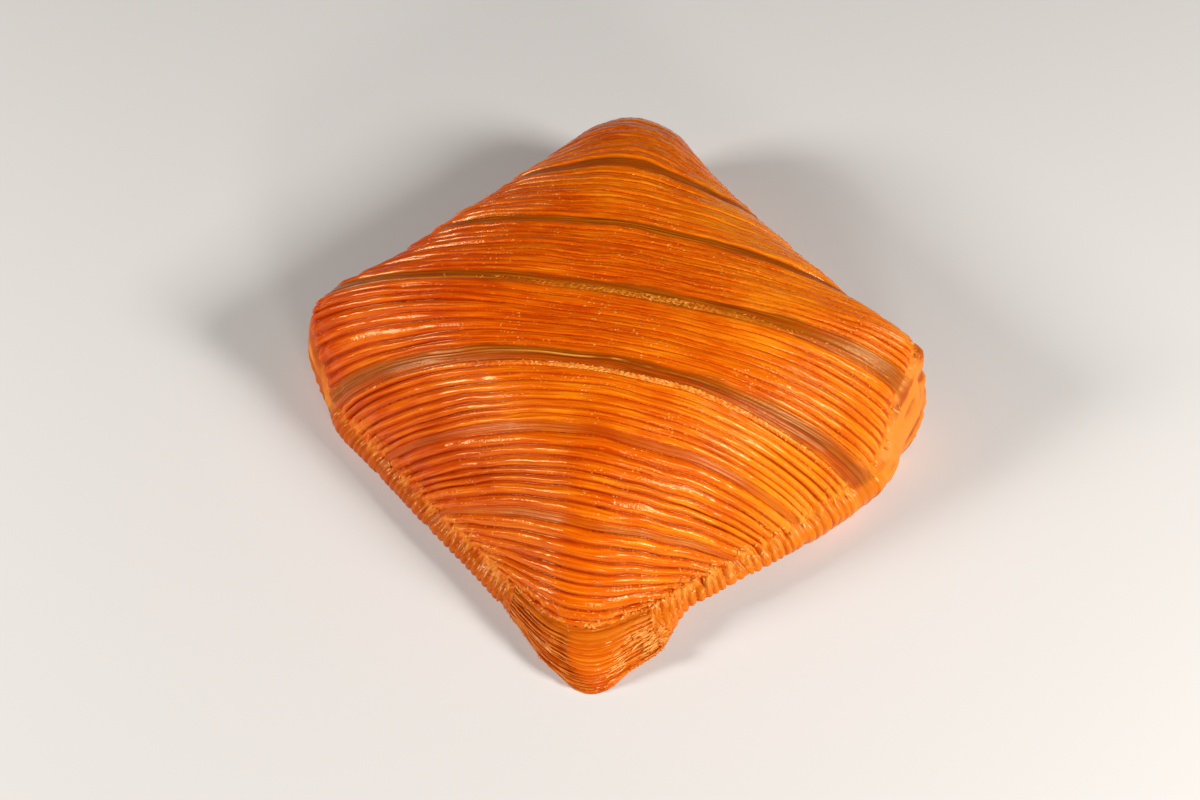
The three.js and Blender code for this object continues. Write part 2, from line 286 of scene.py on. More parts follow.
# ---- Where a ridge line meets the rim and the foot ----
class Edge:
    """Angles at which a line across the square, at a distance from its middle, meets an outline."""

    def __init__(self, radius_at):
        self.radius_at = radius_at
        across = self.across(FULL_TURN)
        self.near = FULL_TURN[np.argmin(across)]
        self.far = FULL_TURN[np.argmax(across)]
        self.right_side = self.side(self.near)
        self.left_side = self.side(self.near + 2 * math.pi)

    def across(self, angle):
        return self.radius_at(angle) * np.sin(angle - RIDGE_SLANT)

    def side(self, near):
        angles = np.linspace(near, self.far, 1500)
        return np.maximum.accumulate(self.across(angles)), angles

    def right(self, across):
        return np.interp(across, *self.right_side)

    def left(self, across):
        return np.interp(across, *self.left_side)


rim_edge = Edge(rim_radius)
foot_edge = Edge(foot_radius)


def rim_length_table():
    """Length along the rim by angle, in millimetres."""
    rim = shell(np.ones_like(FULL_TURN), FULL_TURN)
    lengths = np.concatenate(((0,), np.cumsum(np.linalg.norm(np.diff(rim, axis=0), axis=1))))
    return lambda angle: np.interp((angle + math.pi) % (2 * math.pi) - math.pi, FULL_TURN, lengths)


rim_length = rim_length_table()


# ---- Loops: each runs from the left foot over the top to the right foot ----
def wall_steps(foot_angle, top_angle, top):
    up = np.linspace(0, 1, WALL_STEPS + 1)
    return 2 - up * top, mix(foot_angle, top_angle, up)


def dome_shares():
    t = np.arange(1, DOME_STEPS) / DOME_STEPS
    return t - END_CROWDING * np.sin(2 * math.pi * t) / (2 * math.pi)


def join_loop(left, middle, right):
    return tuple(np.concatenate((a, b, c[::-1])) for a, b, c in zip(left, middle, right))


def sideways(across, t):
    """How far a ridge line wanders from its straight course, and how the bands widen at their ends."""
    shift = SWAY * noise(t * 13, np.array(across / 3), 71)
    for band, _, left_spread, right_spread in BANDS:
        off = across - band
        shift = shift + off * bump_at(off, 0, 4) * mix(left_spread, right_spread, t)
    return shift * np.sin(math.pi * t) ** 0.5


def ridge_loop(across):
    left = rim_edge.left(across)
    right = rim_edge.right(across)
    near = max((BOW_NEAR[0] - across) / (BOW_NEAR[0] - NEAR_NOSE), 0) ** BOW_NEAR[1]
    far = max((across - BOW_FAR[0]) / (FAR_NOSE - BOW_FAR[0]), 0) ** BOW_FAR[1]
    t = dome_shares()
    start, end = shell(np.ones(2), np.array((left, right)))
    turn = 2 * math.pi if near > 0 else 0
    nose = shell(np.ones_like(t), mix(left, right + turn, t))
    share = near if near > 0 else far
    shift = sideways(across, t) * (1 - share)
    x = mix(mix(start[0], end[0], t), nose[:, 0], share) - shift * math.sin(RIDGE_SLANT)
    y = mix(mix(start[1], end[1], t), nose[:, 1], share) + shift * math.cos(RIDGE_SLANT)
    return join_loop(wall_steps(foot_edge.left(across), left, 1), dome_place(x, y),
                     wall_steps(foot_edge.right(across), right, 1))


def layer_loop(drop, is_near):
    across = NEAR_NOSE if is_near else FAR_NOSE
    turn = 2 * math.pi if is_near else 0
    gather = LAYER_GATHER * drop
    rim_nose = rim_edge.near + turn if is_near else rim_edge.far
    foot_nose = foot_edge.near + turn if is_near else foot_edge.far
    nose = mix(rim_nose, foot_nose, drop)
    top = 1 - drop
    left = mix(mix(rim_edge.left(across), foot_edge.left(across), drop), nose, gather)
    right = mix(mix(rim_edge.right(across), foot_edge.right(across), drop) + turn, nose, gather)
    foot_left = mix(foot_edge.left(across), foot_nose, gather)
    foot_right = mix(foot_edge.right(across) + turn, foot_nose, gather)
    t = dome_shares()
    middle = (np.full_like(t, 2 - top), mix(left, right, t))
    return join_loop(wall_steps(foot_left, left, top), middle, wall_steps(foot_right, right, top))


# ---- Rows: every loop with the part of a ridge, band or layer that it is ----
RIDGE, BAND, LAYER, BROW = range(4)
WALL_LENGTH = 14  # how far the distance across the ridges goes on down each nose
FAR_STRANDS, NEAR_STRANDS, BROW_STRAND = 900, 800, 790


def uneven_edges(count, rng):
    """Edges of uneven parts, as shares of the whole."""
    widths = rng.uniform(0.74, 1.26, count)
    return np.concatenate(((0,), np.cumsum(widths) / widths.sum()))


def nose_rows(is_near, rng):
    count = NEAR_LAYERS if is_near else FAR_LAYERS
    top = BROW_SHARE if is_near else 0
    first = NEAR_STRANDS if is_near else FAR_STRANDS
    across = NEAR_NOSE if is_near else FAR_NOSE
    away = -WALL_LENGTH if is_near else WALL_LENGTH
    edges = uneven_edges(count, rng)
    rows = []
    for k in range(count):
        for x in LAYER_SAMPLES:
            drop = mix(top, 1, mix(edges[k], edges[k + 1], x))
            rows.append((layer_loop(drop, is_near), LAYER, x, first + k, across + away * drop))
    rows.append((layer_loop(1, is_near), LAYER, 0, first + count, across + away))
    return rows if is_near else rows[::-1]


def brow_rows():
    return [(layer_loop(BROW_SHARE * x, True), BROW, x, BROW_STRAND, NEAR_NOSE - WALL_LENGTH * BROW_SHARE * x)
            for x in np.linspace(0, 1, BROW_SAMPLES, endpoint=False)]


def all_rows():
    rng = np.random.default_rng(ROW_SEED)
    rows = nose_rows(False, rng)[:-1]
    start = FAR_NOSE
    ridge = 0
    for i, (band, half, _, _) in enumerate(BANDS):
        end = band + half
        edges = uneven_edges(RIDGES_IN_STRIP[i], rng)
        for k in range(RIDGES_IN_STRIP[i]):
            for x in RIDGE_SAMPLES:
                across = mix(start, end, mix(edges[k], edges[k + 1], x))
                rows.append((ridge_loop(across), RIDGE, x, ridge, across))
            ridge += 1
        if half > 0:
            for x in np.linspace(0, 1, BAND_SAMPLES, endpoint=False):
                across = end - 2 * half * x
                rows.append((ridge_loop(across), BAND, x, i, across))
        start = band - half
    return rows + brow_rows() + nose_rows(True, rng)


def in_cut_face(angle):
    share = 0
    for low, high in CUT_FACES:
        off = np.abs(turn_from(angle, (low + high) / 2))
        half = (high - low) / 2
        share = share + 1 - ramp(off, half - CUT_FACE_EDGE, half + CUT_FACE_EDGE)
    return share


def lay_out():
    """Every point of the crust before its relief: where it lies, and what it is part of."""
    loops, *values = zip(*all_rows())
    at = SimpleNamespace()
    at.reach = np.array([reach for reach, _ in loops])
    at.angle = np.array([angle for _, angle in loops])
    flat = np.zeros_like(at.reach)
    kind, at.phase, at.number, at.across = (np.array(value)[:, None] + flat for value in values)
    at.is_ridge, at.is_band, at.is_layer, at.is_brow = (kind == k for k in (RIDGE, BAND, LAYER, BROW))
    at.points = shell(at.reach, at.angle)
    steps = np.linalg.norm(np.diff(at.points, axis=1), axis=-1)
    along = np.concatenate((np.zeros((len(loops), 1)), np.cumsum(steps, axis=1)), axis=1)
    at.along = along - along[:, along.shape[1] // 2][:, None]
    at.u, at.v = at.points[..., 0], at.points[..., 1]
    at.down = from_rim(at.reach, at.angle)
    at.wall = np.clip(at.reach - 1, 0, 1)
    at.foot = 1 - ramp(at.wall, 0.82, 1)
    at.side = np.abs(2 * at.phase - 1)
    at.blunt = in_cut_face(at.angle)
    at.past_edge = at.down - LEFT_STRIP_SHIFT * ramp(-at.u, 30, 48)
    at.near_side = ramp(-np.sin(at.angle), -0.05, 0.25) * (1 - at.blunt)
    count = rim_length(at.angle) / ROPE_WIDTH
    rope = count + 0.35 * noise(count / 2.3, 0 * count, 61)
    at.rope_side = np.abs(2 * (rope % 1) - 1)
    centres, halves = np.array(BANDS)[:-1, :2].T
    offs = (at.across[..., None] - centres) / halves
    at.band_number = np.argmin(np.abs(offs), axis=-1)
    at.band_off = np.take_along_axis(offs, at.band_number[..., None], axis=-1)[..., 0]
    # The ends of the nose's loops, which run straight down the wall, carry no layers.
    column = np.arange(at.reach.shape[1])
    from_end = np.minimum(column, column[::-1]) - WALL_STEPS
    at.on_nose = ramp(from_end, 0, NOSE_FADE)[None, :] + flat
    at.nose = (at.is_layer | at.is_brow) * at.on_nose
    at.rope = at.near_side * ramp(at.down, -0.5, 1.6) * (1 - at.nose) * ~at.is_band
    return at


# ---- Relief, in millimetres out of the smooth shell ----
def strand_noise(at, length, step, seed):
    """Noise along each strand, in waves of about a length, with a step from strand to strand."""
    return noise(at.along / length, at.number * step, seed)


def ridge_relief(at):
    """Flat crowns and thin valleys, bolder towards the blunt corners and the near nose."""
    at.bold = np.clip(ramp(np.abs(at.u - 4), 14, 46) + ramp(-at.v, 8, 40), 0, 1)
    finger = np.clip((at.past_edge + 4.6) / 4.2, 0, 1.2) ** 3 * at.blunt
    crown = np.clip(1 - at.side ** mix(5, 2.2, at.bold) - finger, 0, 1) ** mix(0.7, 1, at.bold)
    at.rope_crown = mix(1 - at.rope_side ** 2.6, 0.8, 1 - ramp(np.abs(at.band_off), 1.1, 1.8))
    at.crown = mix(crown, at.rope_crown, at.rope)
    depth = RIDGE_DEPTH + BOLD_DEPTH * at.bold + 0.15 * ramp(-at.u, 20, 55)
    depth = depth * np.clip(1 + 0.6 * strand_noise(at, 13, 2.13, 23), 0.3, 1.5)
    at.depth = mix(depth, ROPE_DEPTH, at.rope)
    tilt = 0.16 * strand_noise(at, 30, 5.31, 28) * (2 * at.phase - 1) * (1 - at.side ** 4)
    seam_at = 0.5 + 0.2 * strand_noise(at, 40, 9.7, 29)
    seam = 0.13 * bump_at(at.phase, seam_at, 0.12) * ramp(strand_noise(at, 14, 9.1, 26), 0, 0.5)
    lift = 0.16 * strand_noise(at, 16, 3.71, 22) + 0.07 * strand_noise(at, 5, 5.37, 21)
    rough = 0.17 * fractal(at.along / 2.1, at.across, 27)
    return at.depth * (at.crown - 0.62) + tilt - seam + (lift + rough) * at.crown


def band_relief(at):
    """Sunk smooth strips with fine lengthwise grooves, thin raised lines at their edges and a thread."""
    grooves = 0.06 * np.sin(2 * math.pi * (3.2 * at.phase + 0.3 * strand_noise(at, 14, 1, 24)))
    thread = 0.28 * bump_at(at.phase, 0.42, 0.07) * (at.number == THREAD_BAND)
    edge = 0.3 * bump_at(at.phase, 0, 0.09) + 0.22 * bump_at(at.phase, 0.97, 0.07)
    lines = 0.16 * (bump_at(at.phase, 0.15, 0.06) + bump_at(at.phase, 0.84, 0.06)) * at.bold
    return -0.14 - edge + grooves + thread + lines + 0.06 * fractal(at.along / 3.2, at.across / 1.3, 27)


def layer_relief(at):
    """Edges of layers like roof tiles round the noses, nearly smooth in the middle of the near one."""
    fold_at = mix(-4, 1.5, ramp(at.wall, 0.35, 0.85))
    near = at.v < 0
    at.middle = ramp(at.u, fold_at, fold_at + 2.4) * (1 - ramp(at.u, 3.5, 10)) * near
    tile = 0.75 * at.phase * (1 - ramp(at.phase, 0.8, 1)) + 0.25 * (1 - at.side ** 2)
    wave = np.clip(1 + 1.1 * strand_noise(at, 7, 3.3, 25), 0.1, 2)
    fold = 0.3 * bump_at(at.u, fold_at - 0.5, 1.2) * near
    torn = ramp(at.u, 5, 12) * near
    ragged = (0.18 + 0.3 * torn) * fractal(at.along / 1.7, at.number * 1.7 + at.phase, 33)
    sweep = 0.5 * noise(at.along / 9, at.wall * 3, 36)
    tiles = LAYER_DEPTH * (tile - 0.25) * wave * (1 - 0.85 * at.middle)
    return (tiles - fold + ragged * (1 - 0.8 * at.middle) + sweep * (1 - at.middle)) * at.on_nose


def brow_relief(at):
    """The smooth hollow between the last ridge and the near nose's layers."""
    hollow = np.sin(math.pi * np.clip(at.phase, 0, 1)) * bump_at(at.u, 0, 30)
    lines = 0.16 * np.sin(2 * math.pi * (2.5 * at.phase + noise(at.along / 14, at.phase, 34)))
    return (-0.5 * hollow - 0.1 + lines * ramp(np.abs(at.u), 3, 12)) * at.on_nose


def side_relief(at):
    """The creases over the near sides with torn flakes on them, and the ropes' swell below."""
    at.crease = bump_at(at.down, 0.4, 1.5) * at.near_side * at.is_ridge
    band_end = bump_at(at.down, 0.3, 1.7) * at.near_side * at.is_band
    at.torn = fractal(at.along / 1.5, at.across / 1.3, 51)
    swell = 0.6 * bump_at(at.down, 4.6, 2.4) * at.near_side * at.foot * (at.is_ridge | at.is_band)
    groove = 0.28 * bump_at(at.down, -1.6, 0.7) * at.near_side * at.is_ridge
    return (0.75 * at.torn - 0.35) * at.crease - groove - 0.35 * band_end + swell


def cut_face_relief(at):
    """The cut faces: a lip along the rim, and soft folds that run the same way under it."""
    drop = at.down + 0.8 * noise(np.degrees(at.angle) / 5, 0 * at.angle, 35)
    turn = np.degrees(at.angle)
    soft = 1 - 2.2 * np.abs(noise(drop / 2.4, turn / 8, 31))
    fine = 1 - 2.2 * np.abs(noise(drop, turn / 11, 32))
    at.fold = soft + 0.35 * fine
    lip = bump_at(drop, 0.2, 0.8) - 0.7 * bump_at(at.down, -1.2, 0.6) - 0.5 * bump_at(drop, 1.7, 0.6)
    lobe = 1.1 * bump_at(turn_from(at.angle, 8), 0, 2.6) * bump_at(at.down, 2, 3)
    waist = bump_at(turn_from(at.angle, 4.6), 0, 1.3) * bump_at(at.down, 5, 5)
    flap = 0.9 * bump_at(turn_from(at.angle, -10.5), 0, 2.2) * bump_at(at.down, 2.4, 2)
    folds = 0.5 * (at.fold - 0.5) * ramp(at.past_edge, 0.3, 2) * at.foot
    return at.blunt * (0.5 * lip + folds) + lobe - waist + flap


def crust_fields():
    """Points of the crust, loop by loop, and the values that its material reads at each."""
    at = lay_out()
    ridges = ridge_relief(at)
    on_face = at.blunt * ramp(at.past_edge, -1.2, 0.5)
    relief = np.select((at.is_ridge, at.is_band, at.is_layer),
                       (ridges, band_relief(at), layer_relief(at)), brow_relief(at))
    beside_layers = 1 - 0.75 * (at.is_layer | at.is_brow)
    ropes = ROPE_DEPTH * beside_layers * (at.rope_crown - 0.6)
    relief = mix(relief, ropes + 0.08 * fractal(at.along / 2, at.across / 1.1, 27), at.rope)
    relief = relief * at.foot * (1 - 0.94 * on_face) + side_relief(at) + cut_face_relief(at)
    relief = relief + 0.4 * fractal(at.u / 17, at.v / 17, 41) * (1 - ramp(at.wall, 0.6, 1))
    points = at.points + outward(at.reach, at.angle) * relief[..., None]
    points[..., 2] = np.maximum(points[..., 2], 0)

    layer_valley = (1 - ramp(at.phase, 0, 0.3) + ramp(at.phase, 0.9, 1)) * (1 - at.middle) * at.on_nose
    valley = np.select((at.is_ridge, at.is_layer), (1 - ramp(at.crown, 0, 0.85), layer_valley), 0)
    valley = mix(valley, (1 - ramp(at.rope_crown, 0, 0.75)) * beside_layers, at.rope)
    strip = np.searchsorted(np.cumsum(RIDGES_IN_STRIP), at.number, side="right")
    frayed = (at.number == FRAYED_RIDGE) & at.is_ridge
    band_off = np.clip(at.band_off, -BAND_REACH, BAND_REACH)
    fields = {
        "valley": valley * (1 - at.blunt * ramp(at.past_edge, -1.6, -0.6)),
        "band_off": np.where(at.is_ridge | at.is_band, band_off, BAND_REACH),
        "band_number": at.band_number.astype(float),
        "cut": at.blunt * ramp(at.past_edge, -1.6, -0.2),
        "layer": np.where(at.is_layer, 1 - at.middle, 0) * at.on_nose,
        "nose": at.nose * (at.v < 0),
        "layer_phase": np.where(at.is_layer, at.phase, 0),
        "middle": np.where(at.is_layer, at.middle, 0),
        "brow": bump_at(at.wall, 0.07, 0.13) * at.nose * (at.v < 0),
        "frayed": np.where(frayed, bump_at(at.u, 12, 34), 0),
        "tone": np.where(at.is_ridge, np.array(STRIP_TONES)[np.clip(strip, 0, len(STRIP_TONES) - 1)], 0),
        "rope": at.near_side * ramp(at.down, 0, 2) * (1 - at.nose),
        "strand": at.number,
    }
    for name in ("fold", "crease", "torn", "depth", "along", "across", "u", "wall"):
        fields[name] = getattr(at, name)
    at.relief_points = points
    return at, fields


def under_ring(angle, share, lift):
    """Points of the underside at a share of the foot's radius and of its height."""
    radius = share * foot_radius(angle)
    return np.stack((DOME_CENTRE[0] + radius * np.cos(angle), DOME_CENTRE[1] + radius * np.sin(angle),
                     lift * foot_height(angle)), axis=-1)


def underside(angles):
    """Points under each loop, from the right foot across the flat base to the left foot."""
    right, left = ([under_ring(angle, share, lift) for share, lift in zip(UNDER_RADII, UNDER_HEIGHTS)]
                   for angle in (angles[:, -1], angles[:, 0]))
    across = [mix(right[-1], left[-1], k / BASE_STEPS) for k in range(1, BASE_STEPS)]
    return np.stack(right + across + left[::-1], axis=1)


def nose_cap(grid, row, is_near):
    """The underside round one nose: rings in from its foot, closed on a middle point.

    Gives the new points, and faces whose corners count on from the grid's points."""
    shell_size = CRUST.angle.shape[1]
    rows, size = grid.shape[:2]
    rings = [under_ring(CRUST.angle[row], share, lift) for share, lift in zip(UNDER_RADII, UNDER_HEIGHTS)]
    middle = (rings[-1][0] + rings[-1][-1] + rings[-1][shell_size // 2]) / 3
    points = np.concatenate(rings + [middle[None, :]])
    first_row = row % rows * size
    start = rows * size
    ids = [first_row + np.arange(shell_size)]
    ids += [start + j * shell_size + np.arange(shell_size) for j in range(len(rings))]
    last = start + len(points) - 1
    base = first_row + shell_size + len(rings) - 1 + np.arange(BASE_STEPS + 1)
    faces = []
    for outer, inner in zip(ids, ids[1:]):
        faces += [(outer[k], outer[k + 1], inner[k + 1], inner[k]) for k in range(shell_size - 1)]
    for edge in (ids[-1], base):
        faces += [(edge[k], edge[k + 1], last) for k in range(len(edge) - 1)]
    return points, [face[::-1] if is_near else face for face in faces]


# ---- From millimetres in the diagonal frame to metres on the solid ----
def turned(points):
    half = math.sqrt(0.5)
    u, v = points[..., 0], points[..., 1]
    return np.stack((half * (u - v), half * (u + v), points[..., 2]), axis=-1) * MM


def place_on_solid(points):
    """The shift that puts the crust's box over the middle of the solid's, on the same floor."""
    low, high = (np.array(corner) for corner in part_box("pastry_square"))
    flat = turned(points).reshape(-1, 3)
    shift = (low + high) / 2 - (flat.min(axis=0) + flat.max(axis=0)) / 2
    shift[2] = low[2] - flat[:, 2].min()
    return shift


CRUST, CRUST_FIELDS = crust_fields()
PLACE = place_on_solid(CRUST.relief_points)


def placed(points):
    return turned(np.asarray(points, dtype=float)) + PLACE


# ---- Meshes ----
def make_object(name, points, faces, fields=None, smooth=True):
    mesh = bpy.data.meshes.new(name)
    mesh.from_pydata(points.tolist(), [], faces)
    for field, values in (fields or {}).items():
        attribute = mesh.attributes.new(field, "FLOAT", "POINT")
        attribute.data.foreach_set("value", np.asarray(values, dtype=np.float32))
    mesh.polygons.foreach_set("use_smooth", [smooth] * len(mesh.polygons))
    mesh.update()
    obj = bpy.data.objects.new(name, mesh)
    bpy.context.scene.collection.objects.link(obj)
    return obj


def make_crust():
    grid = np.concatenate((CRUST.relief_points, underside(CRUST.angle)), axis=1)
    rows, size = grid.shape[:2]
    shell_size = CRUST.angle.shape[1]
    at = np.arange(rows * size).reshape(rows, size)
    onward = np.roll(at, -1, axis=1)
    quads = np.stack((at[:-1], at[1:], onward[1:], onward[:-1]), axis=-1).reshape(-1, 4).tolist()
    far_points, far_faces = nose_cap(grid, 0, False)
    near_points, near_faces = nose_cap(grid, -1, True)
    moved = len(far_points)
    near_faces = [tuple(p + moved if p >= rows * size else p for p in face) for face in near_faces]
    points = placed(np.concatenate((grid.reshape(-1, 3), far_points, near_points)))
    # Points that fall on one another become one.
    keys = np.round(points * 1e6).astype(np.int64)
    _, first, index = np.unique(keys, axis=0, return_index=True, return_inverse=True)
    index = index.reshape(-1).tolist()
    faces = []
    for quad in quads + far_faces + near_faces:
        corners = [index[p] for p in quad]
        face = [p for i, p in enumerate(corners) if p != corners[i - 1]]
        if len(set(face)) == len(face) and len(face) > 2:
            faces.append(face)
    fields = {}
    for name, values in dict(CRUST_FIELDS, under=0.0).items():
        below = float(name == "under")
        full = np.full((rows, size), below)
        full[:, :shell_size] = values
        extra = np.full(len(points) - rows * size, below)
        fields[name] = np.concatenate((full.reshape(-1), extra))[first]
    return make_object("laminated_crust", points[first], faces, fields)


# ---- Flakes: small closed slivers that lie on the crust where its layers are torn ----
FLAKE_SEED = 29
FLAKE_STEPS = 4  # sections between a flake's two tips
FLAKE_SIDES = 4
FLAKE_CLEARANCE = 0.3  # above the floor
ON_NOSE_LIMIT = 0.99  # under this a point belongs to the ends of the nose's loops
FLAKE_KINDS = (
    # zone, count, length, half width, how far its ends lift, how far it may turn (radians), paleness
    ("nose_right", 220, (1.4, 5), (0.1, 0.22), 0.12, 0.12, 0.5),
    ("nose_left", 60, (1.2, 3.6), (0.1, 0.22), 0.1, 0.1, 0.15),
    ("nose_foot", 70, (0.8, 2.6), (0.1, 0.18), 0.6, 1, 0.2),
    ("crease", 240, (0.6, 1.6), (0.16, 0.36), 0.12, 1.5, 0.45),
    ("face_rim", 12, (1, 2.6), (0.12, 0.26), 0.06, 0.3, 0.45),
    ("crumbly_band", 150, (0.5, 1.3), (0.1, 0.2), 0.1, 1, 0.15),
    ("frayed_ridge", 170, (0.5, 1.5), (0.1, 0.24), 0.1, 0.9, 0.45),
)


def flake_zones():
    """How likely a flake is at each point of the crust, by zone."""
    at = CRUST
    clear_of_foot = at.wall < 0.93
    near_nose = at.is_layer & (at.v < 0) & clear_of_foot
    right = ramp(at.u, 3, 9) * (1 - ramp(at.u, 14, 20))
    left = ramp(-at.u, 3, 8) * (1 - ramp(-at.u, 15, 22))
    crumbly = at.is_band & (at.number == CRUMBLY_BAND) & (at.phase > 0.55)
    return {
        "nose_right": near_nose * right * ramp(at.wall, 0.1, 0.35),
        "nose_left": near_nose * left,
        "nose_foot": near_nose * ramp(at.wall, 0.75, 0.9) * (1 - ramp(np.abs(at.u), 14, 20)),
        "crease": np.clip(at.crease, 0, 1) ** 2 * (0.3 + ramp(at.u, -20, 20)),
        "face_rim": at.blunt * (at.u > 0) * bump_at(at.down, 0.2, 0.9),
        "crumbly_band": crumbly * bump_at(at.u, 6, 26),
        "frayed_ridge": ((at.number == FRAYED_RIDGE) & at.is_ridge) * bump_at(at.u, 12, 28),
    }


def unit(vectors):
    return vectors / np.maximum(np.linalg.norm(vectors, axis=-1, keepdims=True), 1e-9)


def flake_points(rng, centre, along, normal, lengths, half_widths, lift, turn):
    """One closed sliver: a tip, some sections and a tip, bent up at its ends."""
    angle = rng.uniform(-turn, turn)
    forward = along * math.cos(angle) + np.cross(normal, along) * math.sin(angle)
    sideways_on = np.cross(normal, forward)
    length = rng.uniform(*lengths)
    half_width = rng.uniform(*half_widths)
    bend = rng.uniform(-0.1, 0.1) * length
    curl = rng.uniform(0.2, 1) * lift
    thick = 0.5 * half_width
    t = np.linspace(-1, 1, FLAKE_STEPS + 2)
    spine = (centre + np.outer(t, forward) * length / 2 + np.outer(bend * t ** 2, sideways_on)
             + np.outer(curl * t ** 2 - 0.02, normal))
    points = [spine[0]]
    for i in range(1, FLAKE_STEPS + 1):
        wide = half_width * math.sqrt(1 - t[i] ** 2) * rng.uniform(0.7, 1.25)
        for k in range(FLAKE_SIDES):
            around = 2 * math.pi * k / FLAKE_SIDES
            out = sideways_on * wide * math.cos(around)
            points.append(spine[i] + out + normal * thick * math.sin(around))
    points.append(spine[-1])
    return np.array(points)


def flake_faces():
    last = 1 + FLAKE_STEPS * FLAKE_SIDES
    ring = lambda i, k: 1 + i * FLAKE_SIDES + k % FLAKE_SIDES
    faces = []
    for k in range(FLAKE_SIDES):
        faces.append((0, ring(0, k + 1), ring(0, k)))
        faces.append((last, ring(FLAKE_STEPS - 1, k), ring(FLAKE_STEPS - 1, k + 1)))
        for i in range(FLAKE_STEPS - 1):
            faces.append((ring(i, k), ring(i, k + 1), ring(i + 1, k + 1), ring(i + 1, k)))
    return faces


def make_flakes():
    rng = np.random.default_rng(FLAKE_SEED)
    surface = CRUST.relief_points
    along = unit(np.gradient(surface, axis=1))
    normal = unit(np.cross(along, np.gradient(surface, axis=0)))
    facing = (normal * outward(CRUST.reach, CRUST.angle)).sum(axis=-1, keepdims=True)
    normal = np.where(facing < 0, -normal, normal)
    # At the ends of the nose's loops, which run down the wall, the flakes lie level.
    level = unit(np.cross((0, 0, 1), normal))
    along = np.where((CRUST.is_layer & (CRUST.on_nose < ON_NOSE_LIMIT))[..., None], level, along)
    zones = flake_zones()
    pattern = flake_faces()
    points, faces, tones = [], [], []
    for zone, count, *shape, paleness in FLAKE_KINDS:
        weight = zones[zone].astype(float).reshape(-1)
        for index in rng.choice(weight.size, count, replace=False, p=weight / weight.sum()):
            row, column = divmod(int(index), CRUST.reach.shape[1])
            sliver = flake_points(rng, surface[row, column], along[row, column], normal[row, column], *shape)
            sliver[:, 2] = np.maximum(sliver[:, 2], FLAKE_CLEARANCE)
            start = len(points) * len(sliver)
            faces.extend(tuple(start + p for p in face) for face in pattern)
            points.append(sliver)
            tones.append(paleness + rng.uniform(-0.25, 0.25))
    size = len(points[0])
    tip = np.zeros(size)
    tip[[0, -1]] = 1.0
    fields = {"tone": np.repeat(tones, size), "tip": np.tile(tip, len(points))}
    return make_object("crust_flakes", placed(np.concatenate(points)), faces, fields)


# ---- Node helpers ----
def srgb(red, green, blue):
    linear = [((c / 255 + 0.055) / 1.055) ** 2.4 if c > 10 else c / 255 / 12.92 for c in (red, green, blue)]
    return (*linear, 1.0)


class Nodes:
    """Short calls for building one material's node tree.

    A value is another node's output, a constant or the name of one of the mesh's fields."""

    def __init__(self, name):
        self.material = bpy.data.materials.new(name)
        self.material.use_nodes = True
        self.tree = self.material.node_tree
        self.tree.nodes.clear()

    def node(self, kind, inputs, output, **settings):
        """Add a node, fill its inputs by name or number, and give one of its outputs."""
        node = self.tree.nodes.new(kind)
        for key, value in settings.items():
            setattr(node, key, value)
        for key, value in inputs.items():
            if isinstance(value, str):
                value = self.field(value)
            if isinstance(value, bpy.types.NodeSocket):
                self.tree.links.new(value, node.inputs[key])
            else:
                node.inputs[key].default_value = value
        return node.outputs[output]

    def surface(self, inputs):
        """Close the material with one shader that has these inputs."""
        shader = self.node("ShaderNodeBsdfPrincipled", inputs, 0)
        output = self.tree.nodes.new("ShaderNodeOutputMaterial")
        self.tree.links.new(shader, output.inputs["Surface"])
        return self.material

    def place(self):
        return self.node("ShaderNodeTexCoord", {}, "Object")

    def field(self, name):
        return self.node("ShaderNodeAttribute", {}, "Fac", attribute_name=name)

    def math(self, operation, a, b=0.0):
        return self.node("ShaderNodeMath", {0: a, 1: b}, 0, operation=operation)

    def times(self, first, *others):
        for other in others:
            first = self.math("MULTIPLY", first, other)
        return first

    def plus(self, first, *others):
        for other in others:
            first = self.math("ADD", first, other)
        return first

    def most(self, first, *others):
        for other in others:
            first = self.math("MAXIMUM", first, other)
        return first

    def centred(self, value):
        """A value round a half, moved to lie round nothing."""
        return self.math("SUBTRACT", value, 0.5)

    def ramp(self, value, low, high, to_low=0, to_high=1):
        inputs = {"Value": value, "From Min": low, "From Max": high, "To Min": to_low, "To Max": to_high}
        return self.node("ShaderNodeMapRange", inputs, "Result", interpolation_type="SMOOTHSTEP")

    def peak(self, value, centre, width):
        """One at the centre, falling to nothing at the width on either side."""
        off = self.math("ABSOLUTE", self.math("SUBTRACT", value, centre))
        return self.ramp(off, 0, width, 1, 0)

    def colour(self, share, a, b):
        return self.node("ShaderNodeMix", {0: share, 6: a, 7: b}, 2, data_type="RGBA", clamp_factor=True)

    def vector(self, x, y, z):
        return self.node("ShaderNodeCombineXYZ", {0: x, 1: y, 2: z}, 0)

    def noise(self, vector, scale, detail=3):
        inputs = {"Vector": vector, "Scale": scale, "Detail": detail, "Roughness": 0.55}
        return self.node("ShaderNodeTexNoise", inputs, "Fac")

    def streaks(self, along, across, seed, detail=2.0):
        """Noise stretched along the ridges, in steps a millimetre along and across them."""
        vector = self.vector(self.times("along", along), self.times("across", across), seed)
        return self.noise(vector, 1, detail)

    def spots(self, vector, scale):
        return self.node("ShaderNodeTexVoronoi", {"Vector": vector, "Scale": scale}, "Distance", feature="F1")

    def bump(self, height, strength, distance, normal=None):
        inputs = {"Height": height, "Strength": strength, "Distance": distance}
        if normal is not None:
            inputs["Normal"] = normal
        return self.node("ShaderNodeBump", inputs, "Normal")


